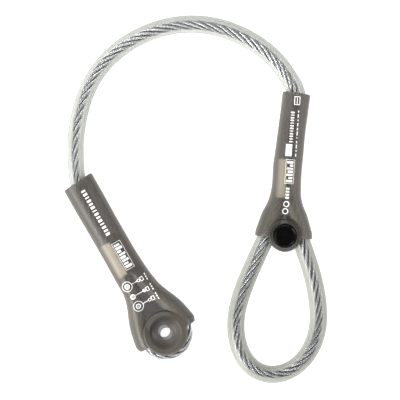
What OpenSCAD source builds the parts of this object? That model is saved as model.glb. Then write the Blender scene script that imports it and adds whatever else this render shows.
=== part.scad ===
// Wire rope anchor strop: a sheathed steel rope with a thimble eye at one end and a
// large loop at the other, each end dressed with a soft moulded cover.
// The origin is the centre of the small eye, the strop lies in the XY plane and +Z is
// up through the eye.

/* [Wire rope] */
// Diameter of the steel wire rope
rope_d = 6; // [5.6:0.1:6]
// Radius of the rope's centreline round the small eye
eye_r = 13.1; // [13:0.05:13.2]
// Distance between the two rope passes inside a ferrule
pass_pitch = 6.1; // [6.1:0.01:6.12]

/* [Sheaths] */
// Outer diameter of the span sheath where it leaves the eye cover
span_sheath_d1 = 9.2; // [9:0.1:9.3]
// Outer diameter of the span sheath where it enters the loop cover
span_sheath_d2 = 10.6; // [10:0.1:10.6]
// Outer diameter of the loop sheath
loop_sheath_d = 10.2; // [9.8:0.1:10.2]
// Wall of both sheaths
sheath_wall = 1; // [0.8:0.1:1.1]

/* [Ferrules] */
// Outer diameter of a pressed ferrule
ferrule_d = 13.2; // [13:0.1:13.3]
// Length of a pressed ferrule
ferrule_l = 22.5; // [20:0.5:23]

/* [Thimble] */
// Inner radius of the thimble
thimble_r = 9.4; // [9.3:0.05:9.5]
// Height of the thimble across the rope
thimble_h = 8.6; // [8.4:0.1:8.7]
// Length of each straight end of the thimble
thimble_leg = 8; // [4:1:9]

/* [Covers] */
// Wall of both covers
cover_wall = 1.5; // [1.3:0.1:1.5]
// Direction of the eye cover's axis, counter-clockwise from +X
eye_cover_angle = 120; // [118:1:122]
// Radius of the hole through the eye cover's dished bosses
eye_hole_r = 3.5; // [3:0.1:4]
// Outer radius of the eye cover's boss
eye_boss_r = 12.9; // [12.8:0.1:13]
// Outer radius of the loop cover's boss
loop_boss_r = 9.5; // [9.4:0.1:9.8]

/* [Snap plug] */
// Radius of the plug's two heads
plug_r = 6.7; // [6.2:0.1:6.75]
// Radius of the stud's stem
stem_r = 2.6; // [2.2:0.1:2.6]
// Radial clearance between the stem and the cap's socket
stem_gap = 0.05; // [0.02:0.01:0.1]

/* [Hidden] */
$fn = 64;

rope_r = rope_d / 2;
pass_x = pass_pitch / 2;
groove_r = rope_r + 0.3;
ferrule_bore_r = rope_r + 0.08;
rope_sides = 10;
sheath_sides = 12;

// Loop cover: the plug's centre and the angle that its axis leans from +Y
plug_at = [70, 57, 0];
loop_cover_lean = -3.8;
loop_ferrule_x = -1.1;

// Where the ferrules start, measured along each cover's axis
eye_ferrule_y = 40.5;
loop_ferrule_y = 22;

// Route of the span's centreline from the end of its sheath in the eye cover to the
// joint plane where the span can flex
SPAN_END_ROUTE = [
    [-39.4, 62.4, 0], [-44.4, 71.3, 0], [-48.5, 79.6, 0], [-51.4, 88.4, 0],
    [-52.6, 98, -0.6], [-53, 109.5, -1.8]
];
// Route of the span's centreline from the joint plane to the end of its sheath in the
// loop cover
SPAN_ROUTE = [
    [-52.8, 114.5, -2.4], [-51, 127, -3.4], [-47, 140.5, -3.8], [-40, 153.5, -3.8],
    [-30, 164.5, -3.8], [-17, 173.3, -3.7], [-2, 179.2, -3.6], [14, 181.5, -3.6],
    [30, 179.8, -3.4], [45, 174.5, -3.2], [58, 166.5, -2.6], [67, 157.6, -1.6],
    [72.6, 149.4, -0.7], [75.8, 143.6, -0.2], [77.2, 138.5, 0], [77.1, 133, 0],
    [76.2, 127, 0], [75.3, 119.5, 0], [74.2, 111.5, 0]
];
// Route of the rope through the loop cover: the long pass, from the span's sheath
// through the ferrule, and out along the right leg
RIGHT_LEG_IN = [[74.7, 106, 0], [74.9, 101.3, 0], [73.4, 78.8, 0]];
RIGHT_LEG = [
    [75.5, 69.7, 0], [77.7, 62.5, 0], [79.4, 55.1, 0], [82.2, 46.8, -0.4],
    [84.9, 38.7, -1.2]
];
// The rope's end: out of the ferrule and along the left leg
LEFT_LEG_IN = [[68.6, 104.2, 0], [68.8, 101.7, 0], [67.3, 79.2, 0]];
LEFT_LEG = [
    [64.5, 70.4, 0], [61.9, 63.6, 0], [59.3, 56.5, 0], [55.9, 49.2, -0.4],
    [52.2, 40.9, -1.2]
];
// Route of the free loop, from the right leg round to the left leg
LOOP_ROUTE = [
    [86.5, 33.2, -1.9], [88.5, 24.5, -2.8], [89.9, 14, -3.3], [89.6, 2.5, -3.3],
    [86.2, -8.5, -3.3], [79.8, -17.6, -3.3], [71.2, -23.4, -3.3],
    [61.5, -25, -3.3], [52.4, -21.8, -3.3], [45.6, -14.2, -3.3],
    [42.1, -4, -3.3], [41.5, 7.5, -3.3], [43.6, 18.5, -3.3],
    [46.6, 27.5, -2.8], [49.8, 35.5, -1.9]
];

// Sections of the eye cover along its own axis:
// [distance, half width, half height, sideways centre, squareness]
EYE_COVER_SECTIONS = [
    [-1.5, 18.9, 6.7, 0, 3.5], [0, 19.4, 6.9, 0, 3.5], [3.5, 19, 6.9, 0, 3.5],
    [7, 18.3, 6.9, 0, 3.5], [10.5, 17.5, 6.9, 0, 3.5], [14, 16.4, 6.9, 0, 3.4],
    [17.5, 15, 7, 0, 3.2], [21, 13.5, 7.2, 0, 3], [24.5, 12.1, 7.5, 0, 2.8],
    [28, 11, 7.8, 0, 2.6], [31.5, 10.4, 8.1, 0, 2.4], [35, 10.1, 8.3, -0.1, 2.3],
    [39, 9.9, 8.4, -0.2, 2.2], [49, 9.5, 8.4, -0.3, 2.2], [64, 9.4, 8.4, -0.3, 2.2],
    [72, 9.4, 8.2, -0.3, 2.2], [88, 9.6, 7.9, -0.2, 2.2], [102.3, 9.6, 7.7, -0.1, 2.2]
];
// Sections of the loop cover along its own axis, in the same form
LOOP_COVER_SECTIONS = [
    [-1.2, 16.9, 7.3, -0.6, 3.5], [2.5, 16.5, 7.4, -0.6, 3.5], [6, 15.4, 7.4, -0.7, 3.4],
    [9.5, 14.3, 7.4, -0.8, 3.2], [13, 13.1, 7.5, -0.9, 3], [16.5, 11.4, 7.8, -1, 2.7],
    [20, 10, 8.2, -1, 2.4], [23.5, 9.1, 8.4, -1.1, 2.2], [27, 8.7, 8.4, -1.1, 2.1],
    [42, 8.5, 8.4, -1.2, 2], [47, 8.4, 8.3, -0.9, 2], [60, 8.1, 8.1, -0.2, 2],
    [72, 8.1, 8.1, 0.5, 2], [83.7, 8.2, 8.1, 1.1, 2]
];
cover_sides = 32;

// Half of the eye cover's dished boss, as radius and height from the middle plane
EYE_BOSS_PROFILE = [
    [eye_hole_r, 0.9], [eye_hole_r, 2.3], [6.4, 2.3], [7.6, 3], [8.6, 6.4], [9.8, 7.4],
    [12.2, 7.4], [eye_boss_r, 6.8], [eye_boss_r, 4.6], [9.15, 4.6], [9.15, 2.2],
    [8.2, 0.9]
];
// Half of the loop cover's boss, with the seat that a plug head lies in
LOOP_BOSS_PROFILE = [
    [3.9, 4.6], [3.9, 5.7], [6.9, 5.7], [6.9, 7.2], [7.3, 7.7], [9, 7.7],
    [loop_boss_r, 7.2], [loop_boss_r, 5.5], [7.6, 5.5], [6.4, 4.6]
];
// A plug head: a disc with a raised rim round a flat centre
PLUG_HEAD_PROFILE = [
    [0, 5.8], [0, 7.4], [4.6, 7.4], [5, 7.9], [5.3, 8], [6.2, 8], [plug_r, 7.6],
    [plug_r, 5.8]
];

function unit(v) = v / norm(v);
function lerp(a, b, t) = a + (b - a) * t;
function flat(lists) = [for (list = lists) for (item = list) item];
function on_eye(x, y) =
    let (a = eye_cover_angle - 90) [x * cos(a) - y * sin(a), x * sin(a) + y * cos(a), 0];
function bezier(a, b, c, d, t) =
    (1 - t) ^ 3 * a + 3 * (1 - t) ^ 2 * t * b + 3 * (1 - t) * t ^ 2 * c + t ^ 3 * d;
function signed_power(value, exponent) = sign(value) * abs(value) ^ exponent;

// The rope's wrap of the small eye, in the eye cover's own axes: contact starts a
// little above the sideways line, and a curve brings the rope from there to the ferrule
contact_angle = 12;
contact = eye_r * [cos(contact_angle), sin(contact_angle)];
along_leg = [-sin(contact_angle), cos(contact_angle)];
function leg_point(t) =
    bezier([pass_x, eye_ferrule_y], [pass_x, eye_ferrule_y - 12], contact + 20 * along_leg,
        contact, t);
EYE_HALF = concat(
    [[pass_x, eye_ferrule_y + ferrule_l], [pass_x, eye_ferrule_y]],
    [for (t = [0.2, 0.4, 0.6, 0.8]) leg_point(t)],
    [for (a = [contact_angle:-17:-73]) eye_r * [cos(a), sin(a)]]
);
EYE_TAIL_END = [pass_x, eye_ferrule_y + ferrule_l + 2.5];
EYE_ROUTE = concat(
    [on_eye(EYE_TAIL_END[0], EYE_TAIL_END[1])],
    [for (p = EYE_HALF) on_eye(p[0], p[1])],
    [on_eye(0, -eye_r)],
    [for (i = [len(EYE_HALF) - 1:-1:0]) on_eye(-EYE_HALF[i][0], EYE_HALF[i][1])]
);

function tangent(path, i) = unit(path[min(i + 1, len(path) - 1)] - path[max(i - 1, 0)]);
function ring(path, i, r, sides) =
    let (t = tangent(path, i), side = unit(cross([0, 0, 1], t)), up = cross(t, side))
    [for (k = [0:sides - 1])
        path[i] + r * (cos(360 * k / sides) * side + sin(360 * k / sides) * up)];
function wall_faces(rings, sides, first) = flat([
    for (i = [0:rings - 2]) for (k = [0:sides - 1])
        let (
            a = first + i * sides + k,
            b = first + i * sides + (k + 1) % sides,
            c = a + sides,
            d = b + sides
        )
        [[a, b, c], [b, d, c]]
]);
function turned(faces) = [for (f = faces) [f[2], f[1], f[0]]];

// A round bar swept along a route
module bar(path, r, sides) {
    last = (len(path) - 1) * sides;
    polyhedron(
        points = flat([for (i = [0:len(path) - 1]) ring(path, i, r, sides)]),
        faces = concat(
            turned(wall_faces(len(path), sides, 0)),
            [[for (k = [0:sides - 1]) k]],
            [[for (k = [sides - 1:-1:0]) last + k]]
        )
    );
}

// A tube swept along a route, its outer radius going from r1 to r2
module tube(path, r1, r2, wall, sides) {
    n = len(path);
    radii = [for (i = [0:n - 1]) lerp(r1, r2, i / (n - 1))];
    inner = n * sides;
    last = (n - 1) * sides;
    polyhedron(
        points = concat(
            flat([for (i = [0:n - 1]) ring(path, i, radii[i], sides)]),
            flat([for (i = [0:n - 1]) ring(path, i, radii[i] - wall, sides)])
        ),
        faces = concat(
            turned(wall_faces(n, sides, 0)),
            wall_faces(n, sides, inner),
            flat([for (k = [0:sides - 1])
                let (m = (k + 1) % sides)
                [
                    [k, m, inner + k], [m, inner + m, inner + k],
                    [last + m, last + k, inner + last + k],
                    [inner + last + m, last + m, inner + last + k]
                ]])
        )
    );
}

// A soft cover's body: superellipse sections lofted along +Y
module loft(sections, shrink, overrun) {
    n = len(sections);
    last = n - 1;
    polyhedron(
        points = flat([
            for (i = [0:last])
                let (
                    s = sections[i],
                    y = s[0] + (i == 0 ? -overrun : i == last ? overrun : 0)
                )
                [for (k = [0:cover_sides - 1])
                    let (a = 360 * k / cover_sides)
                    [
                        s[3] + (s[1] - shrink) * signed_power(cos(a), 2 / s[4]),
                        y,
                        (s[2] - shrink) * signed_power(sin(a), 2 / s[4])
                    ]]
        ]),
        faces = concat(
            wall_faces(n, cover_sides, 0),
            [[for (k = [cover_sides - 1:-1:0]) k]],
            [[for (k = [0:cover_sides - 1]) last * cover_sides + k]]
        )
    );
}

// A ring profile turned about Z, above and below the middle plane
module both_faces(profile) {
    for (side = [0, 1]) {
        mirror([0, 0, side]) rotate_extrude() polygon(profile);
    }
}

module cover(sections, boss_profile, boss_cut_r) {
    difference() {
        loft(sections, 0, 0);
        loft(sections, cover_wall, 2);
        cylinder(h = 30, r = boss_cut_r, center = true);
    }
    both_faces(boss_profile);
}

module ferrule() {
    chamfer = 1;
    rotate([-90, 0, 0]) difference() {
        rotate_extrude() polygon([
            [0, 0], [ferrule_d / 2 - chamfer, 0], [ferrule_d / 2, chamfer],
            [ferrule_d / 2, ferrule_l - chamfer], [ferrule_d / 2 - chamfer, ferrule_l],
            [0, ferrule_l]
        ]);
        for (x = [-pass_x, pass_x]) {
            translate([x, 0, -1]) cylinder(h = ferrule_l + 2, r = ferrule_bore_r);
        }
    }
}

module on_eye_cover() {
    rotate([0, 0, eye_cover_angle - 90]) children();
}

module on_loop_cover() {
    translate(plug_at) rotate([0, 0, loop_cover_lean]) children();
}

// Half of the thimble's section: a square bar with a round groove for the rope
module thimble_section(inset) {
    width = eye_r + 0.3 - thimble_r;
    difference() {
        translate([thimble_r + inset, inset - thimble_h / 2])
            square([width - 2 * inset, thimble_h - 2 * inset]);
        translate([eye_r, 0]) circle(r = groove_r + inset);
    }
}

// --- The rope ---

module wire_rope_eye() {
    color("silver") bar(concat(EYE_ROUTE, SPAN_END_ROUTE), rope_r, rope_sides);
}

module wire_rope_span() {
    color("silver") bar(concat(SPAN_ROUTE, RIGHT_LEG_IN, RIGHT_LEG), rope_r, rope_sides);
}

module wire_rope_tail() {
    color("silver") bar(concat(LEFT_LEG_IN, LEFT_LEG), rope_r, rope_sides);
}

module wire_rope_loop() {
    color("silver") bar(LOOP_ROUTE, rope_r, rope_sides);
}

// --- The clear sheaths ---

module span_sheath_end() {
    r = span_sheath_d1 / 2;
    color([0.86, 0.87, 0.83]) tube(SPAN_END_ROUTE, r, r, sheath_wall, sheath_sides);
}

module span_sheath() {
    color([0.86, 0.87, 0.83])
        tube(SPAN_ROUTE, span_sheath_d1 / 2, span_sheath_d2 / 2, sheath_wall, sheath_sides);
}

module loop_sheath_ends() {
    r = loop_sheath_d / 2;
    color([0.86, 0.87, 0.83]) for (leg = [RIGHT_LEG, LEFT_LEG]) {
        tube(leg, r, r, sheath_wall, sheath_sides);
    }
}

module loop_sheath() {
    r = loop_sheath_d / 2;
    color([0.86, 0.87, 0.83]) tube(LOOP_ROUTE, r, r, sheath_wall, sheath_sides);
}

// --- Fittings inside the covers ---

module eye_thimble() {
    // The straight ends start inside the curved part and are a hair thinner
    start = -0.8;
    inset = 0.05;
    color("gainsboro") on_eye_cover() {
        rotate([0, 0, 180 - contact_angle])
            rotate_extrude(angle = 180 + 2 * contact_angle) thimble_section(0);
        for (side = [0, 1]) {
            mirror([side, 0, 0]) rotate([0, 0, contact_angle]) rotate([-90, 0, 0])
                translate([0, 0, start])
                    linear_extrude(thimble_leg - start) thimble_section(inset);
        }
    }
}

module eye_ferrule() {
    color([0.8, 0.78, 0.72]) on_eye_cover() translate([0, eye_ferrule_y, 0]) ferrule();
}

module loop_ferrule() {
    color([0.8, 0.78, 0.72]) on_loop_cover()
        translate([loop_ferrule_x, loop_ferrule_y, 0]) ferrule();
}

// --- Soft covers ---

module eye_cover() {
    color([0.42, 0.4, 0.37]) on_eye_cover()
        cover(EYE_COVER_SECTIONS, EYE_BOSS_PROFILE, eye_boss_r - 0.4);
}

module loop_cover() {
    color([0.42, 0.4, 0.37]) on_loop_cover()
        cover(LOOP_COVER_SECTIONS, LOOP_BOSS_PROFILE, loop_boss_r - 0.4);
}

// --- The two-part snap plug through the loop cover ---

module plug_stud() {
    stem_end = -3.8;
    color([0.03, 0.03, 0.03]) translate(plug_at) {
        rotate_extrude() polygon(PLUG_HEAD_PROFILE);
        translate([0, 0, stem_end]) cylinder(h = 6 - stem_end, r = stem_r);
    }
}

module plug_cap() {
    socket_top = 3.6;
    socket_floor = -5;
    color([0.03, 0.03, 0.03]) translate(plug_at) {
        mirror([0, 0, 1]) rotate_extrude() polygon(PLUG_HEAD_PROFILE);
        difference() {
            translate([0, 0, -6]) cylinder(h = socket_top + 6, r = stem_r + stem_gap + 1);
            translate([0, 0, socket_floor])
                cylinder(h = socket_top - socket_floor + 1, r = stem_r + stem_gap);
        }
    }
}

wire_rope_eye();
wire_rope_span();
wire_rope_tail();
wire_rope_loop();
span_sheath_end();
span_sheath();
loop_sheath_ends();
loop_sheath();
eye_thimble();
eye_ferrule();
loop_ferrule();
eye_cover();
loop_cover();
plug_stud();
plug_cap();
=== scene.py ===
"""Looks for the wire rope anchor strop.

Shapes are worked out in millimetres, and make() turns them into metres.
"""

import math

import bmesh
import bpy
import numpy as np
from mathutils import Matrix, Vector


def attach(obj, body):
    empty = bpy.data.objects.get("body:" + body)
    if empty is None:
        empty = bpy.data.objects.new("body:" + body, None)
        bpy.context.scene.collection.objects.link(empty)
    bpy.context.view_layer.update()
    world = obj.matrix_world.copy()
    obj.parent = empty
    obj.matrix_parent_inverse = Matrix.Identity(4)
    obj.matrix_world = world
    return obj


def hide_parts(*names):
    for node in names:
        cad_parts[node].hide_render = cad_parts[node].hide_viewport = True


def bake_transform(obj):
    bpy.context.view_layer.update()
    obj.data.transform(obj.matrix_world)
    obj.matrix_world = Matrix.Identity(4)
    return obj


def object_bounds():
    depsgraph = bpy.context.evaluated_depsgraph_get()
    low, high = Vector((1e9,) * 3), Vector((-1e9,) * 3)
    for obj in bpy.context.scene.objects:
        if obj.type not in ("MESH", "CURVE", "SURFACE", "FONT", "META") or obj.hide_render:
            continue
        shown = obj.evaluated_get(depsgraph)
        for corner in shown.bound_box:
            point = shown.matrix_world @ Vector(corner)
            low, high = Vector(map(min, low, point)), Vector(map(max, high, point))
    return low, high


MM = 0.001
UP = np.array([0.0, 0.0, 1.0])

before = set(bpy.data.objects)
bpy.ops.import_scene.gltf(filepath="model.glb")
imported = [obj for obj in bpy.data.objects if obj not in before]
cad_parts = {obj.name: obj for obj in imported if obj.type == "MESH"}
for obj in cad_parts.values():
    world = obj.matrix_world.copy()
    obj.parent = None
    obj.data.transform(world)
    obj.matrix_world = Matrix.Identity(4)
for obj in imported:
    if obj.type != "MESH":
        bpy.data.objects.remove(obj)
cad_box = [list(corner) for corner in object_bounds()]

# ---------------------------------------------------------------- routes

# The rope's middle line, from the eye cover along the span, through the loop cover, round the big
# loop and back into the loop cover
SPAN_START = [(-39.4, 62.4, 0), (-44.4, 71.3, 0), (-48.5, 79.6, 0), (-51.4, 88.4, 0),
              (-52.6, 98, -0.6), (-53, 109.5, -1.8)]
SPAN = [(-52.8, 114.5, -2.4), (-51, 127, -3.4), (-47, 140.5, -3.8), (-40, 153.5, -3.8),
        (-30, 164.5, -3.8), (-17, 173.3, -3.7), (-2, 179.2, -3.6), (14, 181.5, -3.6),
        (30, 179.8, -3.4), (45, 174.5, -3.2), (58, 166.5, -2.6), (67, 157.6, -1.6),
        (72.6, 149.4, -0.7), (75.8, 143.6, -0.2), (77.2, 138.5, 0), (77.1, 133, 0),
        (76.2, 127, 0), (75.3, 119.5, 0), (74.2, 111.5, 0)]
FERRULE_IN = [(74.7, 106, 0), (74.9, 101.3, 0), (74.15, 90.05, 0)]
FERRULE_OUT = [(74.15, 90.05, 0), (73.4, 78.8, 0)]
RIGHT_LEG = [(75.5, 69.7, 0), (77.7, 62.5, 0), (79.4, 55.1, 0), (82.2, 46.8, -0.4),
             (84.9, 38.7, -1.2)]
LOOP = [(86.5, 33.2, -1.9), (88.5, 24.5, -2.8), (89.9, 14, -3.3), (89.6, 2.5, -3.3),
        (86.2, -8.5, -3.3), (79.8, -17.6, -3.3), (71.2, -23.4, -3.3), (61.5, -25, -3.3),
        (52.4, -21.8, -3.3), (45.6, -14.2, -3.3), (42.1, -4, -3.3), (41.5, 7.5, -3.3),
        (43.6, 18.5, -3.3), (46.6, 27.5, -2.8), (49.8, 35.5, -1.9)]
LEFT_LEG_UP = [(52.2, 40.9, -1.2), (55.9, 49.2, -0.4), (59.3, 56.5, 0), (61.9, 63.6, 0),
               (64.5, 70.4, 0)]
TAIL = [(67.3, 79.2, 0), (68.8, 101.7, 0), (68.6, 104.2, 0)]

# The small eye, in the eye cover's own axes: the thimble's middle is at 0, 0 and the span leaves
# along +Y
EYE_R = 13.1
PASS_X = 3.05
EYE_FERRULE_Y = 40.5
FERRULE_L = 22.5
ROPE_PAST_FERRULE = 2.5
# The rope meets the thimble this many degrees above the X axis
CONTACT_DEGREES = 12
# Handle lengths of the curve that leads the rope from the ferrule to the thimble
FERRULE_HANDLE = 12
THIMBLE_HANDLE = 20

# Where each cover's own axes lie in the shared frame
EYE_TURN = math.radians(30)
LOOP_TURN = math.radians(-3.8)
PLUG_AT = np.array([70.0, 57.0])


def turned(points, angle, origin=(0, 0)):
    """Points from a cover's own axes to the shared frame."""
    points = np.array(points, float)
    x, y = points[:, 0], points[:, 1]
    out = points.copy()
    out[:, 0] = x * math.cos(angle) - y * math.sin(angle) + origin[0]
    out[:, 1] = x * math.sin(angle) + y * math.cos(angle) + origin[1]
    return out


def eye_wrap():
    """The rope from its end in the eye cover, round the thimble, to the span's start."""
    angle = math.radians(CONTACT_DEGREES)
    contact = EYE_R * np.array([math.cos(angle), math.sin(angle)])
    tangent = np.array([-math.sin(angle), math.cos(angle)])
    leaves = np.array([PASS_X, EYE_FERRULE_Y])
    first_handle = np.array([PASS_X, EYE_FERRULE_Y - FERRULE_HANDLE])
    second_handle = contact + THIMBLE_HANDLE * tangent
    half = [(PASS_X, EYE_FERRULE_Y + FERRULE_L + ROPE_PAST_FERRULE),
            (PASS_X, EYE_FERRULE_Y + FERRULE_L),
            (PASS_X, EYE_FERRULE_Y + 10), (PASS_X, EYE_FERRULE_Y)]
    for t in (0.15, 0.3, 0.45, 0.6, 0.75, 0.9):
        half.append(tuple((1 - t) ** 3 * leaves + 3 * (1 - t) ** 2 * t * first_handle
                          + 3 * (1 - t) * t * t * second_handle + t ** 3 * contact))
    # Round the thimble in steps of 8 degrees, nearly to its lowest point
    for degrees in range(CONTACT_DEGREES, -85, -8):
        turn = math.radians(degrees)
        half.append((EYE_R * math.cos(turn), EYE_R * math.sin(turn)))
    # The other side is the mirror image, without the end that stands past the ferrule
    route = half + [(0, -EYE_R)] + [(-x, y) for x, y in reversed(half[1:])]
    return [(x, y, 0) for x, y in turned(route, EYE_TURN)]


# Steps that a curve takes between two of its points, before it is evened out
CURVE_STEPS = 24


def smooth(points, step):
    """A centripetal Catmull-Rom curve through the points, at an even step."""
    p = np.array(points, float)
    p = np.vstack([2 * p[0] - p[1], p, 2 * p[-1] - p[-2]])
    out = []
    for i in range(1, len(p) - 2):
        p0, p1, p2, p3 = p[i - 1:i + 3]
        t0 = 0.0
        t1 = t0 + np.linalg.norm(p1 - p0) ** 0.5
        t2 = t1 + np.linalg.norm(p2 - p1) ** 0.5
        t3 = t2 + np.linalg.norm(p3 - p2) ** 0.5
        t = np.linspace(t1, t2, CURVE_STEPS, endpoint=False)[:, None]
        a1 = (t1 - t) / (t1 - t0) * p0 + (t - t0) / (t1 - t0) * p1
        a2 = (t2 - t) / (t2 - t1) * p1 + (t - t1) / (t2 - t1) * p2
        a3 = (t3 - t) / (t3 - t2) * p2 + (t - t2) / (t3 - t2) * p3
        b1 = (t2 - t) / (t2 - t0) * a1 + (t - t0) / (t2 - t0) * a2
        b2 = (t3 - t) / (t3 - t1) * a2 + (t - t1) / (t3 - t1) * a3
        out.append((t2 - t) / (t2 - t1) * b1 + (t - t1) / (t2 - t1) * b2)
    out = np.vstack([*out, p[-2:-1]])
    along = lengths(out)
    count = max(2, round(along[-1] / step) + 1)
    even = np.linspace(0, along[-1], count)
    return np.column_stack([np.interp(even, along, out[:, k]) for k in range(3)])


def smoothstep(value, low, high):
    """0 up to low, 1 from high, and smooth between."""
    t = np.clip((value - low) / (high - low), 0, 1)
    return t * t * (3 - 2 * t)


def lengths(path):
    """How far along the path each of its points is."""
    return np.concatenate([[0], np.cumsum(np.linalg.norm(np.diff(path, axis=0), axis=1))])


def unit(rows):
    """The rows, each brought to length 1."""
    return rows / np.linalg.norm(rows, axis=1, keepdims=True)


def axes(path):
    """For each point of a path: its direction, the side (left of it) and up."""
    along = unit(np.gradient(path, axis=0))
    side = unit(np.cross(UP, along))
    return along, side, np.cross(along, side)


def rings_round(path, radius, angle):
    """Rings of points round a path, with a radius and an angle for each (ring, point)."""
    _, side, up = axes(path)
    spokes = np.cos(angle)[..., None] * side[:, None] + np.sin(angle)[..., None] * up[:, None]
    return path[:, None] + radius[..., None] * spokes


# ---------------------------------------------------------------- meshes

# Degrees past which an edge is shaded as a crease
CREASE = 40
TUBE_CREASE = 50
# Points of a turned shape that are nearer than this, in metres, become one
WELD = 1e-7


def make(name, verts, quads, tris=(), look=None, sharp=None):
    """A smooth-shaded mesh object from millimetre points. sharp is its crease angle."""
    quads = np.asarray(quads, np.int32).reshape(-1, 4)
    tris = np.asarray(tris, np.int32).reshape(-1, 3)
    mesh = bpy.data.meshes.new(name)
    mesh.vertices.add(len(verts))
    mesh.vertices.foreach_set("co", (np.asarray(verts, np.float32) * MM).ravel())
    loops = np.concatenate([quads.ravel(), tris.ravel()])
    mesh.loops.add(len(loops))
    mesh.loops.foreach_set("vertex_index", loops)
    mesh.polygons.add(len(quads) + len(tris))
    starts = np.concatenate([np.arange(len(quads)) * 4,
                             len(quads) * 4 + np.arange(len(tris)) * 3])
    mesh.polygons.foreach_set("loop_start", starts.astype(np.int32))
    mesh.polygons.foreach_set("use_smooth", np.ones(len(starts), bool))
    mesh.update(calc_edges=True)
    mesh.validate()
    if sharp:
        mesh.set_sharp_from_angle(angle=math.radians(sharp))
    obj = bpy.data.objects.new(name, mesh)
    bpy.context.scene.collection.objects.link(obj)
    if look:
        mesh.materials.append(look)
    return obj


def wall(rings, sides, flip=False, closed=False):
    """Quads between rings of points. closed joins the last ring to the first."""
    last = rings if closed else rings - 1
    ring, k = np.meshgrid(np.arange(last), np.arange(sides), indexing="ij")
    next_ring, next_k = (ring + 1) % rings, (k + 1) % sides
    corners = [ring * sides + k, ring * sides + next_k,
               next_ring * sides + next_k, next_ring * sides + k]
    if flip:
        corners.reverse()
    return np.stack(corners, -1).reshape(-1, 4)


def tube(name, path, radii, inner_radii, sides, look):
    """A tube with a thick wall, closed between its outside and its bore at both ends."""
    turn = np.linspace(0, 2 * math.pi, sides, endpoint=False)[None]
    outside = rings_round(path, radii[:, None], turn)
    bore = rings_round(path, inner_radii[:, None], turn)
    verts = np.concatenate([outside, bore[::-1]]).reshape(-1, 3)
    quads = wall(2 * len(path), sides, closed=True, flip=True)
    return make(name, verts, quads, look=look, sharp=TUBE_CREASE)


def lathe(name, profile, sides, centre=(0, 0, 0), flip_z=False):
    """A closed ring profile of (radius, height), turned about Z. Radius 0 makes a pole."""
    radius, z = np.array(profile, float).T
    if flip_z:
        z = -z
    turn = np.linspace(0, 2 * math.pi, sides, endpoint=False)
    rings = np.stack([np.outer(radius, np.cos(turn)), np.outer(radius, np.sin(turn)),
                      np.repeat(z[:, None], sides, 1)], -1)
    verts = rings.reshape(-1, 3) + np.array(centre)
    quads = wall(len(radius), sides, closed=True, flip=flip_z)
    obj = make(name, verts, quads)
    bm = bmesh.new()
    bm.from_mesh(obj.data)
    bmesh.ops.remove_doubles(bm, verts=bm.verts, dist=WELD)
    bmesh.ops.recalc_face_normals(bm, faces=bm.faces)
    bm.to_mesh(obj.data)
    bm.free()
    return obj


def merged(name, parts, look):
    """One object from several, which are removed."""
    bm = bmesh.new()
    for part in parts:
        bm.from_mesh(part.data)
        bpy.data.objects.remove(part)
    mesh = bpy.data.meshes.new(name)
    bm.to_mesh(mesh)
    bm.free()
    mesh.polygons.foreach_set("use_smooth", np.ones(len(mesh.polygons), bool))
    mesh.set_sharp_from_angle(angle=math.radians(CREASE))
    mesh.materials.append(look)
    obj = bpy.data.objects.new(name, mesh)
    bpy.context.scene.collection.objects.link(obj)
    return obj


def points_of(obj):
    """The object's vertices, in millimetres."""
    co = np.empty(len(obj.data.vertices) * 3)
    obj.data.vertices.foreach_get("co", co)
    return co.reshape(-1, 3) / MM


def write_attribute(obj, name, values):
    """Stores a value for each vertex, which the object's material reads by its name."""
    layer = obj.data.attributes.new(name, "FLOAT", "POINT")
    layer.data.foreach_set("value", np.asarray(values, np.float32))


# ---------------------------------------------------------------- materials


def linear(r, g, b):
    """A display colour of 0 to 255 as linear light."""
    return tuple((c / 255 / 12.92 if c / 255 <= 0.04045 else ((c / 255 + 0.055) / 1.055) ** 2.4)
                 for c in (r, g, b)) + (1.0,)


def material(name, **sockets):
    """A new material with its nodes, its links and its shader, whose sockets are set by name."""
    look = bpy.data.materials.new(name)
    look.use_nodes = True
    nodes, links = look.node_tree.nodes, look.node_tree.links
    shader = nodes["Principled BSDF"]
    for socket, value in sockets.items():
        shader.inputs[socket.replace("_", " ")].default_value = value
    return look, nodes, links, shader


def attribute(nodes, name):
    """The value that write_attribute() stored."""
    node = nodes.new("ShaderNodeAttribute")
    node.attribute_name = name
    return node.outputs["Fac"]


def noise(nodes, links, scale, detail=3.0, stretch=(1, 1, 1)):
    """Noise in object space; scale is in waves per metre."""
    where = nodes.new("ShaderNodeTexCoord")
    fit = nodes.new("ShaderNodeMapping")
    fit.inputs["Scale"].default_value = stretch
    tex = nodes.new("ShaderNodeTexNoise")
    tex.inputs["Scale"].default_value = scale
    tex.inputs["Detail"].default_value = detail
    links.new(where.outputs["Object"], fit.inputs["Vector"])
    links.new(fit.outputs["Vector"], tex.inputs["Vector"])
    return tex.outputs["Fac"]


def ramp(nodes, links, source, stops):
    """A colour ramp of (position, colour) stops."""
    node = nodes.new("ShaderNodeValToRGB")
    node.color_ramp.elements[0].position, node.color_ramp.elements[0].color = stops[0]
    node.color_ramp.elements[1].position, node.color_ramp.elements[1].color = stops[-1]
    for position, colour in stops[1:-1]:
        node.color_ramp.elements.new(position).color = colour
    links.new(source, node.inputs["Fac"])
    return node.outputs["Color"]


def spread(nodes, links, source, low, high):
    """Noise, which is mostly 0.3 to 0.7, sent to low to high."""
    node = nodes.new("ShaderNodeMapRange")
    node.inputs["From Min"].default_value = 0.3
    node.inputs["From Max"].default_value = 0.7
    node.inputs["To Min"].default_value = low
    node.inputs["To Max"].default_value = high
    links.new(source, node.inputs["Value"])
    return node.outputs["Result"]


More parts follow.
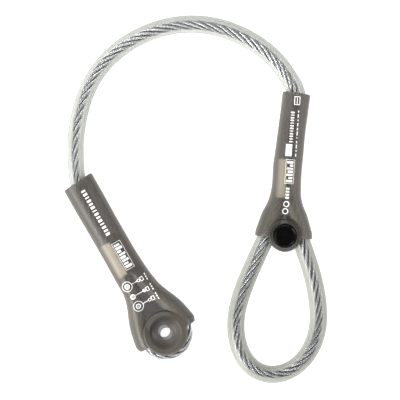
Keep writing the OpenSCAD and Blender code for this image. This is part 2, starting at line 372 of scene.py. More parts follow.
def bump(nodes, links, shader, source, height):
    """A bump whose full height is in metres."""
    node = nodes.new("ShaderNodeBump")
    node.inputs["Strength"].default_value = 1.0
    node.inputs["Distance"].default_value = height
    links.new(source, node.inputs["Height"])
    links.new(node.outputs["Normal"], shader.inputs["Normal"])


def blended(nodes, links, fac, a, b):
    """Colour a where fac is 0 and b where it is 1. Each is a colour or another node's output."""
    node = nodes.new("ShaderNodeMix")
    node.data_type = "RGBA"
    links.new(fac, node.inputs["Factor"])
    for socket, value in (("A", a), ("B", b)):
        target = next(i for i in node.inputs if i.name == socket and i.type == "RGBA")
        if isinstance(value, tuple):
            target.default_value = value
        else:
            links.new(value, target)
    return next(o for o in node.outputs if o.type == "RGBA")


def thickness(nodes, links, stops):
    """A value that changes as a wall is seen more edge on: stops are (facing, value)."""
    rim = nodes.new("ShaderNodeLayerWeight")
    rim.inputs["Blend"].default_value = 0.5
    return ramp(nodes, links, rim.outputs["Facing"], [(at, (v, v, v, 1)) for at, v in stops])


# Waves per metre of a metal's fine grain
GRAIN = 9000


def metal(name, dark, light, rough_low, rough_high, scale, grain_height, stretch=(1, 1, 1)):
    """Metal whose colour and gloss vary together, with a fine grain."""
    look, nodes, links, shader = material(name, Metallic=1.0)
    tone = noise(nodes, links, scale, 4, stretch)
    colour = ramp(nodes, links, tone, [(0.3, dark), (0.7, light)])
    links.new(colour, shader.inputs["Base Color"])
    links.new(spread(nodes, links, tone, rough_high, rough_low), shader.inputs["Roughness"])
    bump(nodes, links, shader, noise(nodes, links, GRAIN, 2, stretch), grain_height)
    return look


def with_painted_groove_shade(look, groove):
    """Paints shade into a metal: it darkens to the given shade colour where the strand's
    painted-shade attribute is low.
    """
    nodes, links = look.node_tree.nodes, look.node_tree.links
    base = nodes["Principled BSDF"].inputs["Base Color"]
    steel = base.links[0].from_socket
    links.new(blended(nodes, links, attribute(nodes, "unshaded"), groove, steel), base)
    return look


# Alpha of a sheath's wall where it is seen straight on
CLEAR = 0.03


def sheath_look(name, dark, light, edge_shade_colour, haze_reflection_alpha):
    """Clear plastic. Where its attribute says so and its wall is seen at a slant, it is hazy, by the
    alpha given and more. This haze is partly the sheath's own and partly painted reflection of the
    lamps on its sides. Edge on, its colour darkens to a painted dark outline, which stands in for
    refraction at the tube's edges."""
    look, nodes, links, shader = material(name, IOR=1.45, Specular_IOR_Level=0.35)
    tone = noise(nodes, links, 60)
    body = ramp(nodes, links, tone, [(0.3, dark), (0.7, light)])
    # Painted dark outline where the wall is seen edge on
    rim = thickness(nodes, links, [(0.4, 0), (0.8, 0.85)])
    links.new(blended(nodes, links, rim, body, edge_shade_colour), shader.inputs["Base Color"])
    links.new(spread(nodes, links, tone, 0.28, 0.4), shader.inputs["Roughness"])
    bump(nodes, links, shader, noise(nodes, links, 700), 0.00003)
    # Alpha: clear over the rope and hazy elsewhere, partly by the sheath's own haze and partly by
    # painted reflection of the lamps
    slant = thickness(nodes, links, [(0, CLEAR), (0.03, CLEAR), (0.1, haze_reflection_alpha), (0.4, haze_reflection_alpha),
                                     (0.5, 1.5 * haze_reflection_alpha), (1, 2.3 * haze_reflection_alpha)])
    alpha = blended(nodes, links, attribute(nodes, "haze_and_reflection"), (CLEAR, CLEAR, CLEAR, 1), slant)
    links.new(alpha, shader.inputs["Alpha"])
    return look


def cover_look():
    """Smoke-grey plastic, with painted shade over the hollow between the rope's legs and round the
    loop cover's boss, and lighter where something inside touches its wall, partly as show-through and
    partly as painted highlight.
    """
    look, nodes, links, shader = material("cover_smoke", IOR=1.5, Specular_IOR_Level=0.5)
    tone = noise(nodes, links, 45)
    smoke = ramp(nodes, links, tone, [(0.25, linear(80, 76, 70)), (0.75, linear(93, 88, 82))])
    # Painted shade over the hollow between the legs and round the boss
    smoke = blended(nodes, links, attribute(nodes, "hollow_shade"), smoke, linear(54, 50, 45))
    # Lighter where parts inside touch the wall: the ferrule showing through, and partly painted
    # highlight over the legs and the eye's boss ring
    smoke = blended(nodes, links, attribute(nodes, "contact"), smoke, linear(182, 172, 152))
    links.new(smoke, shader.inputs["Base Color"])
    links.new(spread(nodes, links, tone, 0.38, 0.46), shader.inputs["Roughness"])
    bump(nodes, links, shader, noise(nodes, links, 1500), 0.00001)
    links.new(thickness(nodes, links, [(0, 0.5), (0.55, 0.97)]), shader.inputs["Alpha"])
    return look


def plug_look():
    """Glossy black plastic."""
    look, nodes, links, shader = material("plug_black", IOR=1.45, Specular_IOR_Level=0.2)
    tone = noise(nodes, links, 300)
    colour = ramp(nodes, links, tone, [(0.3, linear(2, 2, 2)), (0.7, linear(5, 5, 5))])
    links.new(colour, shader.inputs["Base Color"])
    links.new(spread(nodes, links, tone, 0.16, 0.26), shader.inputs["Roughness"])
    bump(nodes, links, shader, noise(nodes, links, 1800), 0.00001)
    return look


def print_look():
    """Matt white ink, slightly uneven."""
    look, nodes, links, shader = material("white_print", IOR=1.45)
    tone = noise(nodes, links, 1500, 4)
    ink = ramp(nodes, links, tone, [(0.25, linear(226, 226, 224)), (0.6, linear(250, 250, 249))])
    links.new(ink, shader.inputs["Base Color"])
    links.new(spread(nodes, links, tone, 0.5, 0.7), shader.inputs["Roughness"])
    return look


# The rope's steel, with a painted shade colour for the crevices between its strands and wires
rope_steel = with_painted_groove_shade(metal("rope_steel", linear(188, 190, 193), linear(238, 239, 240),
                                0.26, 0.4, 900, 0.000012), linear(56, 56, 58))
core_steel = metal("core_steel", linear(90, 90, 90), linear(130, 130, 130), 0.4, 0.6, 700,
                   0.000012)
ferrule_alloy = metal("ferrule_alloy", linear(188, 182, 168), linear(226, 220, 206),
                      0.3, 0.5, 350, 0.00002, (1, 1, 3))
thimble_steel = metal("thimble_steel", linear(205, 202, 192), linear(244, 241, 232),
                      0.16, 0.32, 400, 0.00001)
# Each sheath's last colour is its painted dark outline, and its last number the alpha of its haze and
# painted lamp reflection
span_clear = sheath_look("span_clear", linear(196, 198, 191), linear(205, 207, 200),
                         linear(126, 128, 119), 0.42)
loop_clear = sheath_look("loop_clear", linear(164, 166, 157), linear(176, 178, 169),
                         linear(128, 129, 120), 0.5)
cover_smoke = cover_look()
plug_black = plug_look()
white_print = print_look()

# ---------------------------------------------------------------- camera

# Width of the view at height 0, and its middle
VIEW_WIDTH = 0.235
VIEW_AT = (0.0203, 0.0778)
camera_data = bpy.data.cameras.new("camera")
camera_data.lens = 150
camera_data.sensor_width = 36
camera = bpy.data.objects.new("camera", camera_data)
camera.location = (*VIEW_AT, camera_data.lens / camera_data.sensor_width * VIEW_WIDTH)
bpy.context.scene.collection.objects.link(camera)
bpy.context.scene.camera = camera

# ---------------------------------------------------------------- sheaths

SHEATH_STEP = 1.5
SHEATH_WALL = 1.0
SHEATH_SIDES = 64

# How the rope lies in each sheath: (distance along it, how far to the left the rope lies, half the
# width over which it shows through the wall, which elsewhere is hazy, partly by the sheath's own haze
# and partly by painted reflection of the lamps on its sides)
SPAN_LIE = np.array([(0, 0, 2.4), (30, 0.3, 1.8), (60, 0.35, 1.7), (90, 0.2, 2.1),
                     (115, -0.1, 2.7), (145, -0.5, 3.1), (200, -0.7, 3.2), (250, -0.5, 3.2),
                     (269, 0, 3.2)])
LOOP_LIE = np.array([(0, 0, 3.0), (20, 0.5, 1.9), (40, 0.6, 1.5), (68, 0.5, 1.7), (90, 0.2, 2.4),
                     (112, -0.1, 2.2), (132, -0.4, 1.8), (152, -0.6, 1.8), (172, -0.6, 2.2),
                     (188, -0.6, 3.0), (222, -0.2, 3.1)])


def mark_haze_and_reflection(piece, path, lie):
    """Says where a sheath's wall is hazy, which is everywhere but over the rope: partly the sheath's
    own haze and partly painted reflection of the lamps on its sides.
    """
    rows = np.arange(len(path))
    rows = np.repeat(np.concatenate([rows, rows[::-1]]), SHEATH_SIDES)
    _, side, _ = axes(path)
    across = ((points_of(piece) - path[rows]) * side[rows]).sum(axis=1)
    along = lengths(path)[rows]
    across -= np.interp(along, lie[:, 0], lie[:, 1])
    window = np.interp(along, lie[:, 0], lie[:, 2]) + 0.25 * np.sin(along / 3.1)
    write_attribute(piece, "haze_and_reflection", smoothstep(np.abs(across), window - 0.9, window + 0.5))


def sheath(name, route, first_d, last_d, lie, look):
    """A clear tube of a slightly uneven diameter, with its middle line."""
    path = smooth(route, SHEATH_STEP)
    along = lengths(path)
    radii = np.linspace(first_d / 2, last_d / 2, len(path))
    # Up to a tenth of a millimetre thicker or thinner along its length
    swell = 0.06 * np.sin(along / 23.0) + 0.04 * np.sin(along / 9.1 + 1)
    piece = tube(name, path, radii + swell, radii - SHEATH_WALL + swell, SHEATH_SIDES, look)
    mark_haze_and_reflection(piece, path, lie)
    return piece, path


span_sheath, span_path = sheath("clear_span_sheath", SPAN_START + SPAN, 9.2, 10.6, SPAN_LIE,
                                span_clear)
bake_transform(span_sheath)
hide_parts("span_sheath_end", "span_sheath")

loop_sheath, loop_path = sheath("clear_loop_sheath", RIGHT_LEG + LOOP + LEFT_LEG_UP, 10.2, 10.2,
                                LOOP_LIE, loop_clear)
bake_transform(loop_sheath)
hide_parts("loop_sheath_ends", "loop_sheath")

# ---------------------------------------------------------------- rope

ROPE_STEP = 1.0
OUTER_STRANDS = 6
# Length of one turn of the strands, and of the wires in a strand
LAY = 41.0
WIRE_LAY = 15.0
# Distance of an outer strand from the rope's middle, and its radius
STRAND_AT = 2.0
STRAND_R = 0.98
WIRES = 9
# Radius round one outer wire of a strand, from its crest through the groove and back
FLUTE = np.array([1.0, 0.98, 0.92, 0.84, 0.92, 0.98])
# Distances from the rope's middle between which a strand goes from painted shade, where it faces the
# crevices between the strands, to full brightness
DARK_TO = 2.1
BRIGHT_FROM = 2.8
# Radii in a strand between which its wires go from groove to crest, and the share of its brightness
# that the painted shade in a groove between wires keeps
GROOVE_R = 0.84
CREST_R = 0.97
GROOVE_SHADE = 0.35
# Points over which a change of the rope's place in its sheath is spread, each way
DRIFT_REACH = 12
# How far the rope sinks for each millimetre that it lies to one side
DRIFT_DROP = 0.3


def drift(path, sheath_path, lie):
    """Moves the rope to where it lies in its sheath."""
    start = int(np.argmin(np.linalg.norm(path - sheath_path[0], axis=1)))
    along = lengths(path)
    off = np.interp(along - along[start], lie[:, 0], lie[:, 1], left=0, right=0)
    bell = np.hanning(2 * DRIFT_REACH + 3)[1:-1] / (DRIFT_REACH + 1)
    off = np.convolve(np.pad(off, DRIFT_REACH, mode="edge"), bell, mode="valid")
    _, side, _ = axes(path)
    return path + off[:, None] * side - DRIFT_DROP * np.abs(off)[:, None] * UP


def end_caps(rings, sides):
    """Triangles that close a run of rings. The two middle points come after the rings' own."""
    k = np.arange(sides)
    next_k = (k + 1) % sides
    middle, last_ring = np.full(sides, rings * sides), (rings - 1) * sides
    return np.concatenate([np.column_stack([k, middle, next_k]),
                           np.column_stack([last_ring + next_k, middle + 1, last_ring + k])])


def strand(name, path, number, look, lit_level):
    """One strand of the rope, 0 being the core. Its wires turn against the strands. It carries
    painted shade for its material, dark in the crevices between strands and between wires, and the
    last argument sets how bright their crests are."""
    along = lengths(path)
    centre = path
    if number:
        turn = 2 * math.pi * (along / LAY + number / OUTER_STRANDS)
        reach = STRAND_AT * (1 + 0.012 * np.sin(along / 11.0 + number * 1.7))
        centre = rings_round(path, reach[:, None], turn[:, None])[:, 0]
    sides = WIRES * len(FLUTE)
    radius = STRAND_R * np.tile(FLUTE, WIRES)
    angle = np.linspace(0, 2 * math.pi, sides, endpoint=False)
    angle = angle[None] - (2 * math.pi * along / WIRE_LAY)[:, None]
    rings = rings_round(centre, radius[None], angle)
    verts = np.vstack([rings.reshape(-1, 3), centre[:1], centre[-1:]])
    piece = make(name, verts, wall(len(path), sides, flip=True), end_caps(len(path), sides), look)
    # Painted shade: the strand darkens where it faces the rope's middle and where its wires meet
    from_middle = np.linalg.norm(rings - path[:, None], axis=2)
    crest = GROOVE_SHADE + (1 - GROOVE_SHADE) * smoothstep(radius, GROOVE_R, CREST_R)
    unshaded = smoothstep(from_middle, DARK_TO, BRIGHT_FROM) * crest[None]
    write_attribute(piece, "unshaded", np.concatenate([lit_level * unshaded.ravel(), [0, 0]]))
    return piece


eye_route = eye_wrap()
span_rope = smooth(eye_route + SPAN_START + SPAN + FERRULE_IN, ROPE_STEP)
span_rope = drift(span_rope, span_path, SPAN_LIE)
loop_rope = smooth(FERRULE_OUT + RIGHT_LEG + LOOP + LEFT_LEG_UP + TAIL, ROPE_STEP)
loop_rope = drift(loop_rope, loop_path, LOOP_LIE)

for number in range(OUTER_STRANDS + 1):
    steel = rope_steel if number else core_steel
    piece = strand(f"span_strand_{number}", span_rope, number, steel, 1.0)
    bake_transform(piece)
    if number == 1:
        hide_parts("wire_rope_eye", "wire_rope_span")
    # The loop's strands get less painted brightness on their crests than the span's
    piece = strand(f"loop_strand_{number}", loop_rope, number, steel, 0.82)
    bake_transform(piece)
    if number == 1:
        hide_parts("wire_rope_tail", "wire_rope_loop")

# ---------------------------------------------------------------- covers

# [distance, half width, half height, sideways centre, fullness of the flank]
EYE_SECTIONS = np.array([
    [-2.8, 18.4, 6.7, 0, 1.6], [0, 19.4, 6.9, 0, 1.6], [3.5, 19, 6.9, 0, 1.6],
    [7, 18.3, 6.9, 0, 1.6], [10.5, 17.5, 6.9, 0, 1.6], [14, 16.4, 6.9, 0, 1.6],
    [17.5, 15, 7, 0, 1.6], [21, 13.5, 7.2, 0, 1.7], [24.5, 12.1, 7.5, 0, 1.8],
    [28, 11, 7.8, 0, 1.9], [31.5, 10.4, 8.1, 0, 2], [35, 10.1, 8.3, -0.2, 2.1],
    [39, 9.9, 8.4, -0.4, 2.2], [49, 9.5, 8.4, -0.6, 2.2], [64, 9.4, 8.4, -0.6, 2.2],
    [72, 9.4, 8.2, -0.6, 2.2], [88, 9.6, 7.9, -0.5, 2.2], [102.3, 9.6, 7.7, -0.4, 2.2]])
LOOP_SECTIONS = np.array([
    [-1.2, 16.9, 7.3, -0.6, 1.8], [2.5, 16.5, 7.4, -0.6, 1.8], [6, 15.4, 7.4, -0.7, 1.8],
    [9.5, 14.3, 7.4, -0.8, 1.9], [13, 13.1, 7.5, -0.9, 1.9], [16.5, 11.4, 7.8, -1, 2],
    [20, 10, 8.2, -1, 2], [23.5, 9.1, 8.4, -1, 2], [27, 8.7, 8.4, -0.9, 2],
    [42, 8.5, 8.4, -0.9, 2], [47, 8.4, 8.3, -0.6, 2], [60, 8.1, 8.1, 0, 2],
    [72, 8.1, 8.1, 0.8, 2], [83.7, 8.2, 8.1, 1.5, 2]])
WALL = 1.5
SHELL_STEP = 0.75
SHELL_SIDES = 144
TURNED_SIDES = 128
# Distance inside the rope's legs from which a point counts as well between them
WELL_BETWEEN = 4.6
# How far back from the mouth its slant reaches
MOUTH_DEPTH = 6
# Width of the groove round a boss, as a share of the groove's radius
GROOVE_WIDTH = 0.14
# Half width of the lighter band where a leg of the rope touches the wall, which is partly the leg
# showing through and partly painted highlight
LEG_BAND = 2.6


class Cover:
    """A soft moulded cover lofted along +Y. Each section runs level between the two rope legs,
    falls away outside them, and is pinched between them and hollowed round the boss."""

    def __init__(self, sections, legs, pinch, groove_r, groove, mouth_lean):
        """legs gives the rope legs' distance from the middle, as (distance along, reach). pinch
        and groove are the shares of its height that the cover loses there, and mouth_lean is how
        far each side of the mouth leans along Y."""
        self.sections, self.legs = sections, np.array(legs, float)
        self.pinch, self.groove_r, self.groove = pinch, groove_r, groove
        self.mouth_lean = mouth_lean

    def size(self, y):
        """Half width, half height, centre and fullness at a distance, smoothly joined."""
        at = self.sections[:, 0]
        y = np.clip(y, at[0], at[-1])
        i = np.clip(np.searchsorted(at, y, side="right") - 1, 0, len(at) - 2)
        gap = at[i + 1] - at[i]
        t = (y - at[i]) / gap
        out = []
        for value in self.sections[:, 1:].T:
            slope = np.gradient(value, at)
            out.append((2 * t ** 3 - 3 * t ** 2 + 1) * value[i]
                       + (t ** 3 - 2 * t ** 2 + t) * gap * slope[i]
                       + (3 * t ** 2 - 2 * t ** 3) * value[i + 1]
                       + (t ** 3 - t ** 2) * gap * slope[i + 1])
        return out

    def leg(self, y):
        """How far the rope's legs are from the middle."""
        return np.interp(y, self.legs[:, 0], self.legs[:, 1])

    def between(self, x, y, low=0.3):
        """0 over the rope's legs, 1 well between them."""
        return smoothstep(self.leg(y) - np.abs(x), low, WELL_BETWEEN)

    def dip(self, x, y, centre):
        """How much of its height the cover keeps at a point."""
        off_ring = (np.hypot(x, y) - self.groove_r) / (GROOVE_WIDTH * self.groove_r)
        ring = np.exp(-off_ring ** 2)
        ring = ring * self.between(x - centre, y, -3.0)
        return 1 - np.maximum(self.pinch * self.between(x - centre, y), self.groove * ring)

    def top(self, x, y):
        """Height of the outer surface over a point."""
        width, height, centre, fullness = self.size(y)
        leg = self.leg(y)
        across = np.clip((np.abs(x - centre) - leg) / (width - leg), 0, 0.999)
        flank = (1 - across ** fullness) ** (1 / fullness)
        return height * flank * self.dip(x, y, centre)

    def ring(self, y, inset):
        """Evenly spaced points round the wall at a distance, inset from its outer surface."""
        width, height, centre, fullness = (float(v) for v in self.size(np.array(y)))
        leg = self.leg(y)
        fine = np.radians(np.arange(0.125, 360, 0.25))
        fine = np.append(fine, fine[0])
        cos, sin, power = np.cos(fine), np.sin(fine), 2 / fullness
        x = np.sign(cos) * (leg + (width - inset - leg) * np.abs(cos) ** power)
        z = (height - inset) * np.sign(sin) * np.abs(sin) ** power
        along = np.concatenate([[0], np.cumsum(np.hypot(np.diff(x), np.diff(z)))])
        even = np.linspace(0, along[-1], SHELL_SIDES, endpoint=False)
        x, z = np.interp(even, along, x) + centre, np.interp(even, along, z)
        return np.column_stack([x, np.full(SHELL_SIDES, y), z * self.dip(x, y, centre)])

    def shell(self):
        """The whole wall: outer surface, lips and inner surface."""
        first, last = self.sections[0, 0], self.sections[-1, 0]
        lip = WALL / 2
        body = np.linspace(first + lip, last - lip, round((last - first) / SHELL_STEP))
        bend = np.radians(np.arange(18, 180, 18))
        rows = [(y, 0.0) for y in body]
        rows += [(last - lip + lip * math.sin(b), lip - lip * math.cos(b)) for b in bend]
        rows += [(y, WALL) for y in body[::-1]]
        rows += [(first + lip - lip * math.sin(b), lip + lip * math.cos(b)) for b in bend]
        verts = np.concatenate([self.ring(y, inset) for y, inset in rows])
        reach = np.clip((verts[:, 1] - last + MOUTH_DEPTH) / MOUTH_DEPTH, 0, 1)
        width, _, centre, _ = self.size(verts[:, 1])
        verts[:, 1] += self.mouth_lean * reach * (verts[:, 0] - centre) / width
        return make("shell", verts, wall(len(rows), SHELL_SIDES, closed=True, flip=True))


eye_form = Cover(EYE_SECTIONS, [(0, 13.1), (5, 12.4), (10, 11.1), (15, 9.6), (20, 8), (30, 5),
                                (38, 3), (44, 0)],
                 pinch=0.24, groove_r=13.6, groove=0.12, mouth_lean=0.7)
loop_form = Cover(LOOP_SECTIONS, [(0, 10.4), (6, 8.6), (13, 5.8), (20, 3.4), (26, 0)],
                  pinch=0.14, groove_r=10.4, groove=0.14, mouth_lean=-0.6)


def cut_round(obj, r):
    """Takes a round hole of radius r through the object, about Z."""
    reach = 30
    cutter = lathe("cutter", [(0, -reach), (r, -reach), (r, reach), (0, reach)], TURNED_SIDES)
    change = obj.modifiers.new("cut", "BOOLEAN")
    change.operation, change.solver, change.object = "DIFFERENCE", "EXACT", cutter
    bpy.context.view_layer.update()
    graph = bpy.context.evaluated_depsgraph_get()
    mesh = bpy.data.meshes.new_from_object(obj.evaluated_get(graph))
    obj.modifiers.clear()
    obj.data = mesh
    bpy.data.objects.remove(cutter)


def rounded(profile, radius):
    """A closed profile with each corner cut to a small curve."""
    p = np.array(profile, float)
    out = []
    for i in range(len(p)):
        before, here, after = p[i - 1], p[i], p[(i + 1) % len(p)]
        if here[0] == 0:
            out.append(tuple(here))
            continue
        a, b = before - here, after - here
        reach = min(radius, 0.45 * np.linalg.norm(a), 0.45 * np.linalg.norm(b))
        a, b = a / np.linalg.norm(a) * reach, b / np.linalg.norm(b) * reach
        for t in (0, 0.25, 0.5, 0.75, 1):
            out.append(tuple(here + (1 - t) ** 2 * a + t ** 2 * b))
    return out


# Outlines of (radius, height) of the front half of each boss
EYE_BOSS = rounded([(3.5, 0.9), (3.5, 2.3), (5.4, 2.5), (7.9, 4.6), (9, 6.7), (9.5, 7.3),
                    (12.2, 7.3), (12.8, 6.7), (12.8, 4.6), (9.4, 4.6), (9.15, 2.2),
                    (8.2, 0.9)], 0.5)
LOOP_BOSS = rounded([(3.9, 4.4), (3.9, 5.7), (6.9, 5.7), (6.9, 7.2), (7.3, 7.7), (9, 7.7),
                     (9.5, 7.2), (9.5, 3.8), (7.6, 3.8), (6.4, 4.4)], 0.5)


# Radii of a boss between which a shift of its hole fades out
SHIFTED_TO = 4.5
FIXED_FROM = 8.0


def shift_hole(obj, dx, dy):
    """Moves the middle of a boss sideways and leaves its outer ring."""
    for v in obj.data.vertices:
        r = math.hypot(v.co.x, v.co.y) / MM
        keep = 1 - float(smoothstep(r, SHIFTED_TO, FIXED_FROM))
        v.co.x += dx * keep * MM
        v.co.y += dy * keep * MM


def cover(name, form, boss, cut_r, hole_shifts):
    """The moulding in its own axes: the shell, with a half of the boss on each face."""
    shell = form.shell()
    cut_round(shell, cut_r)
    front = lathe("boss_front", boss, TURNED_SIDES)
    back = lathe("boss_back", boss, TURNED_SIDES, flip_z=True)
    for half, (dx, dy) in zip((front, back), hole_shifts):
        shift_hole(half, dx, dy)
    return merged(name, [shell, front, back], cover_smoke)


def mark_touch_and_highlight(piece, form, cut_r, ferrule, legs_to, on_thimble):
    """Says where the cover's wall is lighter because something inside touches it. The ferrule shows
    through, and over the rope's legs and the thimble's rim the lighter tone is partly show-through
    and partly painted highlight. ferrule is the x range and y range of the ferrule, and legs_to the
    distance at which the legs leave the wall."""
    x, y, _ = points_of(piece).T
    r = np.hypot(x, y)
    x0, x1, y0, y1 = ferrule
    on_ferrule = (smoothstep(x, x0 + 0.5, x0 + 4.5) * (1 - smoothstep(x, x1 - 0.4, x1 + 0.4))
                  * smoothstep(y, y0 - 0.5, y0 + 0.5) * (1 - smoothstep(y, y1 - 0.5, y1 + 0.5)))
    _, _, middle, _ = form.size(y)
    off_leg = (np.abs(x - middle) - form.leg(y)) / LEG_BAND
    on_leg = np.exp(-off_leg ** 2) * (1 - smoothstep(y, 0.4 * legs_to, legs_to))
    on_leg *= smoothstep(r, cut_r - 0.5, cut_r + 1.5)
    on_rim = smoothstep(r, 8.5, 10.5) * (1 - smoothstep(r, 12.5, 13.5)) * on_thimble
    # The ferrule's share is show-through; the legs' and the rim's shares are partly painted highlight
    light = np.maximum(0.72 * on_ferrule, 0.15 * on_leg + 0.05 * on_rim)
    write_attribute(piece, "contact", light)


def mark_hollow_shade(piece, form, cut_r, dark_r):
    """Says where the cover gets painted shade: between the rope's legs and within dark_r of its boss.
    """
    x, y, _ = points_of(piece).T
    r = np.hypot(x, y)
    _, _, middle, _ = form.size(y)
    between = form.between(x - middle, y, 0.0) * smoothstep(y, 0, 6)
    boss_dark = 1 - smoothstep(r, dark_r - 0.5, dark_r + 1.5)
    # The painted shade is lighter next to the boss
    deep = 0.7 + 0.28 * smoothstep(r, cut_r + 0.5, cut_r + 3.0)
    write_attribute(piece, "hollow_shade", deep * np.maximum(between, boss_dark))


def place(piece, angle, origin):
    """Moves a cover from its own axes to the shared frame."""
    verts = turned(points_of(piece), angle, origin) * MM
    piece.data.vertices.foreach_set("co", verts.ravel())
    piece.data.update()


EYE_CUT_R = 12.5
eye_cover = cover("smoke_eye_cover", eye_form, EYE_BOSS, EYE_CUT_R, ((0.25, -0.8), (-0.3, 1.0)))
mark_touch_and_highlight(eye_cover, eye_form, EYE_CUT_R, (-9.5, -1.6, 41, 62.5), 34, True)
mark_hollow_shade(eye_cover, eye_form, EYE_CUT_R, 0)
place(eye_cover, EYE_TURN, (0, 0))
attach(eye_cover, "small_eye")
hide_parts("eye_cover")

LOOP_CUT_R = 9.1
loop_cover = cover("smoke_loop_cover", loop_form, LOOP_BOSS, LOOP_CUT_R, ((0, 0), (0, 0)))
mark_touch_and_highlight(loop_cover, loop_form, LOOP_CUT_R, (-8.8, -1.6, 22, 44.5), 24, False)
mark_hollow_shade(loop_cover, loop_form, LOOP_CUT_R, 9.5)
place(loop_cover, LOOP_TURN, PLUG_AT)
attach(loop_cover, "strop_body")
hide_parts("loop_cover")

# ---------------------------------------------------------------- print on the covers

# How far a mark stands over the cover's surface, and how far it is let in
PRINT_LIFT = 0.07
PRINT_SINK = 0.08
# Steps across and along a bar, so that it follows the cover, and points round a ring
BAR_STEPS = (0.4, 0.6)
RING_SIDES = 40


class Print:
    """Thin marks let into a cover's upper surface, in the cover's own axes."""

    def __init__(self, form):
        self.form, self.verts, self.quads = form, [], []

    def add(self, sections, quads):
        """Adds one closed mark, given as its cross-sections."""
        first = sum(len(v) for v in self.verts)
        self.verts.append(np.concatenate(sections))
        self.quads.append(quads + first)

    def skin(self, x, y):
        """Points over and under the cover's surface at x, y."""
        z = self.form.top(x, y)
        return np.stack([x, y, z + PRINT_LIFT], -1), np.stack([x, y, z - PRINT_SINK], -1)

    def bar(self, x, y, width, length):
        """A bar with its middle at x, y."""
        columns = max(2, math.ceil(width / BAR_STEPS[0]) + 1)
        rows = max(2, math.ceil(length / BAR_STEPS[1]) + 1)
        across, along = np.meshgrid(np.linspace(-0.5, 0.5, columns), np.linspace(-0.5, 0.5, rows))
        over, under = self.skin(x + across * width, y + along * length)
        sections = np.concatenate([over, under[:, ::-1]], axis=1)
        sides = 2 * columns
        k = np.arange(columns - 1)
        end = np.column_stack([k, sides - 1 - k, sides - 2 - k, k + 1])
        self.add(sections, np.vstack([wall(rows, sides), end,
                                      end[:, ::-1] + (rows - 1) * sides]))

    def ring(self, x, y, radius, width):
        """A ring whose line has its middle at the radius."""
        turn = np.linspace(0, 2 * math.pi, RING_SIDES, endpoint=False)
        edges = []
        for r in (radius - width / 2, radius + width / 2):
            edges.append(self.skin(x + r * np.cos(turn), y + r * np.sin(turn)))
        (inner_over, inner_under), (outer_over, outer_under) = edges
        sections = np.stack([inner_over, outer_over, outer_under, inner_under], axis=1)
        self.add(sections, wall(len(turn), 4, closed=True))

    def frame(self, x, y, width, length, line):
        """The outline of a rectangle."""
        for sign in (-1, 1):
            self.bar(x + sign * width / 2, y, line, length + line)
            self.bar(x, y + sign * length / 2, width, line)

    def done(self, name, angle, origin, body):
        """Makes all the marks one piece, in the shared frame."""
        verts = turned(np.vstack(self.verts), angle, origin)
        piece = make(name, verts, np.vstack(self.quads), look=white_print, sharp=CREASE)
        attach(piece, body)


marks = Print(loop_form)
# A blank patch, and past it a row of bars beside a row of dashes
marks.bar(-1.25, 49.9, 3.6, 7.0)
for i in range(12):
    marks.bar(-0.35, 54.9 + 1.55 * i, 2.0, (0.75, 0.5, 0.85)[i % 3])
for i, dash in enumerate((1.6, 0.7, 2.2, 1.2, 0.6, 2.4, 1.4, 1.8, 0.8, 2.0, 1.2)):
    marks.bar(2.95, 47.2 + 2.55 * i, 0.6, dash)
# A small framed bar at the mouth
marks.frame(1.8, 79, 3.0, 4.6, 0.45)
marks.bar(1.8, 79, 0.45, 3.6)
# A framed row of bars, then four short bars and two rings towards the boss
marks.frame(0.1, 37.4, 5.0, 14.0, 0.22)
for i, tall in enumerate((3.6, 2.4, 3.6, 3.0, 3.6, 2.0, 3.6)):
    marks.bar(0.1 + (3.6 - tall) / 2, 31.9 + 1.82 * i, tall, (1.35, 1.0, 1.2)[i % 3])
for i in range(4):
    marks.bar(-0.4, 22.2 + 1.75 * i, 2.1, 1.05)
marks.ring(-0.6, 18.4, 1.5, 0.5)
marks.ring(-0.9, 14.2, 1.5, 0.5)
marks.done("loop_cover_print", LOOP_TURN, PLUG_AT, "strop_body")

marks = Print(eye_form)
# A row of bars towards the mouth, and a framed row of bars
for i in range(14):
    marks.bar(0.1, 67.0 + 2.2 * i, 2.5, (1.5, 1.1, 1.35, 0.8)[i % 4])
marks.frame(1.5, 51.8, 5.4, 17.4, 0.22)
for i, tall in enumerate((4.0, 2.8, 4.0, 3.2, 4.0, 2.4, 4.0, 3.4)):
    marks.bar(1.5 - (4.0 - tall) / 2, 44.9 + 1.97 * i, tall, (1.5, 1.1, 1.3)[i % 3])
# Three pictograms: rings, a line, a small ring and a small frame, with three dots
for y, outer in ((34.6, 2.9), (27.8, 0), (21.5, 2.9)):
    marks.ring(-5.6, y, 1.25, 0.6)
    marks.ring(-5.6, y, 0.3, 0.3)
    if outer:
        marks.ring(-5.6, y, outer, 0.35)
    marks.bar(-0.9, y, 4.2 if outer else 6.0, 0.35)
    marks.ring(1.9, y, 0.8, 0.35)
    marks.frame(4.1, y, 1.7, 2.2, 0.35)
    for i in range(3):
        marks.bar(6.9, y - 1.6 + 1.6 * i, 0.7, 1.0)
marks.done("eye_cover_print", EYE_TURN, (0, 0), "small_eye")

# ---------------------------------------------------------------- plug, ferrules, thimble

HEAD_SIDES = 96
STEM_SIDES = 64
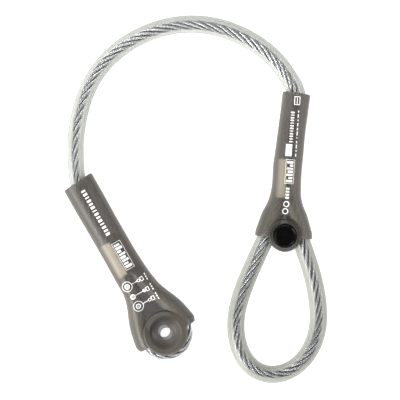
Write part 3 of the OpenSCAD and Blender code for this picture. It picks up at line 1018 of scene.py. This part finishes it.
# Outlines of (radius, height)
HEAD = [(0, 5.8), (0, 7.45), (5.6, 7.45), (5.9, 7.9), (6.35, 8), (6.7, 7.6), (6.7, 5.8)]
STEM = [(0, -3.8), (2.6, -3.8), (2.6, 6.0), (0, 6.0)]
SOCKET = [(2.65, -5), (0, -5), (0, -6), (3.65, -6), (3.65, 3.6), (2.65, 3.6)]
AT = (PLUG_AT[0], PLUG_AT[1], 0)
stud = merged("snap_plug_stud", [lathe("head", rounded(HEAD, 0.35), HEAD_SIDES, AT),
                                 lathe("stem", rounded(STEM, 0.3), STEM_SIDES, AT)], plug_black)
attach(stud, "plug_front")
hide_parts("plug_stud")
cap = merged("snap_plug_cap", [lathe("head", rounded(HEAD, 0.35), HEAD_SIDES, AT, flip_z=True),
                               lathe("socket", SOCKET, STEM_SIDES, AT)], plug_black)
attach(cap, "plug_back")
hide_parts("plug_cap")


def paint(node, look):
    """Gives a CAD node its material."""
    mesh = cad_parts[node].data
    mesh.materials.clear()
    mesh.materials.append(look)


paint("eye_ferrule", ferrule_alloy)
paint("loop_ferrule", ferrule_alloy)
paint("eye_thimble", thimble_steel)

# ---------------------------------------------------------------- floor and light

# Half the floor's side, and its distance under the CAD model
FLOOR_HALF = 2500
FLOOR_GAP = 0.15


def floor_look():
    """A pale ground that glows a little, so that it takes almost no shadow."""
    look, nodes, links, shader = material("pale_floor", Roughness=0.85,
                                          Emission_Color=(1, 1, 1, 1), Emission_Strength=0.95)
    tone = noise(nodes, links, 3)
    pale = ramp(nodes, links, tone, [(0.3, linear(140, 140, 140)), (0.7, linear(146, 146, 146))])
    links.new(pale, shader.inputs["Base Color"])
    return look


floor_z = cad_box[0][2] / MM - FLOOR_GAP
corners = [(x * FLOOR_HALF, y * FLOOR_HALF, floor_z) for x, y in ((-1, -1), (1, -1), (1, 1), (-1, 1))]
floor = make("floor", corners, [(0, 1, 2, 3)], look=floor_look())

# The lamps point at the middle of the strop
LAMPS_AIM = (0.02, 0.08, 0)


def softbox(name, place, size, power):
    """A square lamp of a size in metres and a power in watts."""
    lamp = bpy.data.lights.new(name, "AREA")
    lamp.shape, lamp.size, lamp.energy = "SQUARE", size, power
    obj = bpy.data.objects.new(name, lamp)
    obj.location = place
    aim = Vector(LAMPS_AIM) - Vector(place)
    obj.rotation_euler = aim.to_track_quat("-Z", "Y").to_euler()
    bpy.context.scene.collection.objects.link(obj)


softbox("key", (-1.2, -0.7, 1.0), 0.9, 38)
softbox("front", (0.3, -1.3, 1.3), 0.8, 12)
softbox("back", (-0.85, 1.15, 1.1), 0.8, 18)
softbox("fill", (1.2, 0.1, 0.6), 0.9, 9)


def studio_sky():
    """A grey surround that is lightest near the horizon."""
    world = bpy.data.worlds.new("studio")
    world.use_nodes = True
    nodes, links = world.node_tree.nodes, world.node_tree.links
    direction = nodes.new("ShaderNodeTexCoord")
    height = nodes.new("ShaderNodeSeparateXYZ")
    links.new(direction.outputs["Generated"], height.inputs["Vector"])
    tones = ramp(nodes, links, height.outputs["Z"],
                 [(at, (grey, grey, grey, 1))
                  for at, grey in ((0.0, 0.85), (0.14, 0.85), (0.3, 0.3), (1.0, 0.2))])
    links.new(tones, nodes["Background"].inputs["Color"])
    nodes["Background"].inputs["Strength"].default_value = 1.0
    return world


bpy.context.scene.world = studio_sky()
bpy.context.scene.view_settings.view_transform = "Standard"
bpy.context.scene.cycles.transparent_max_bounces = 24

bpy.context.view_layer.update()
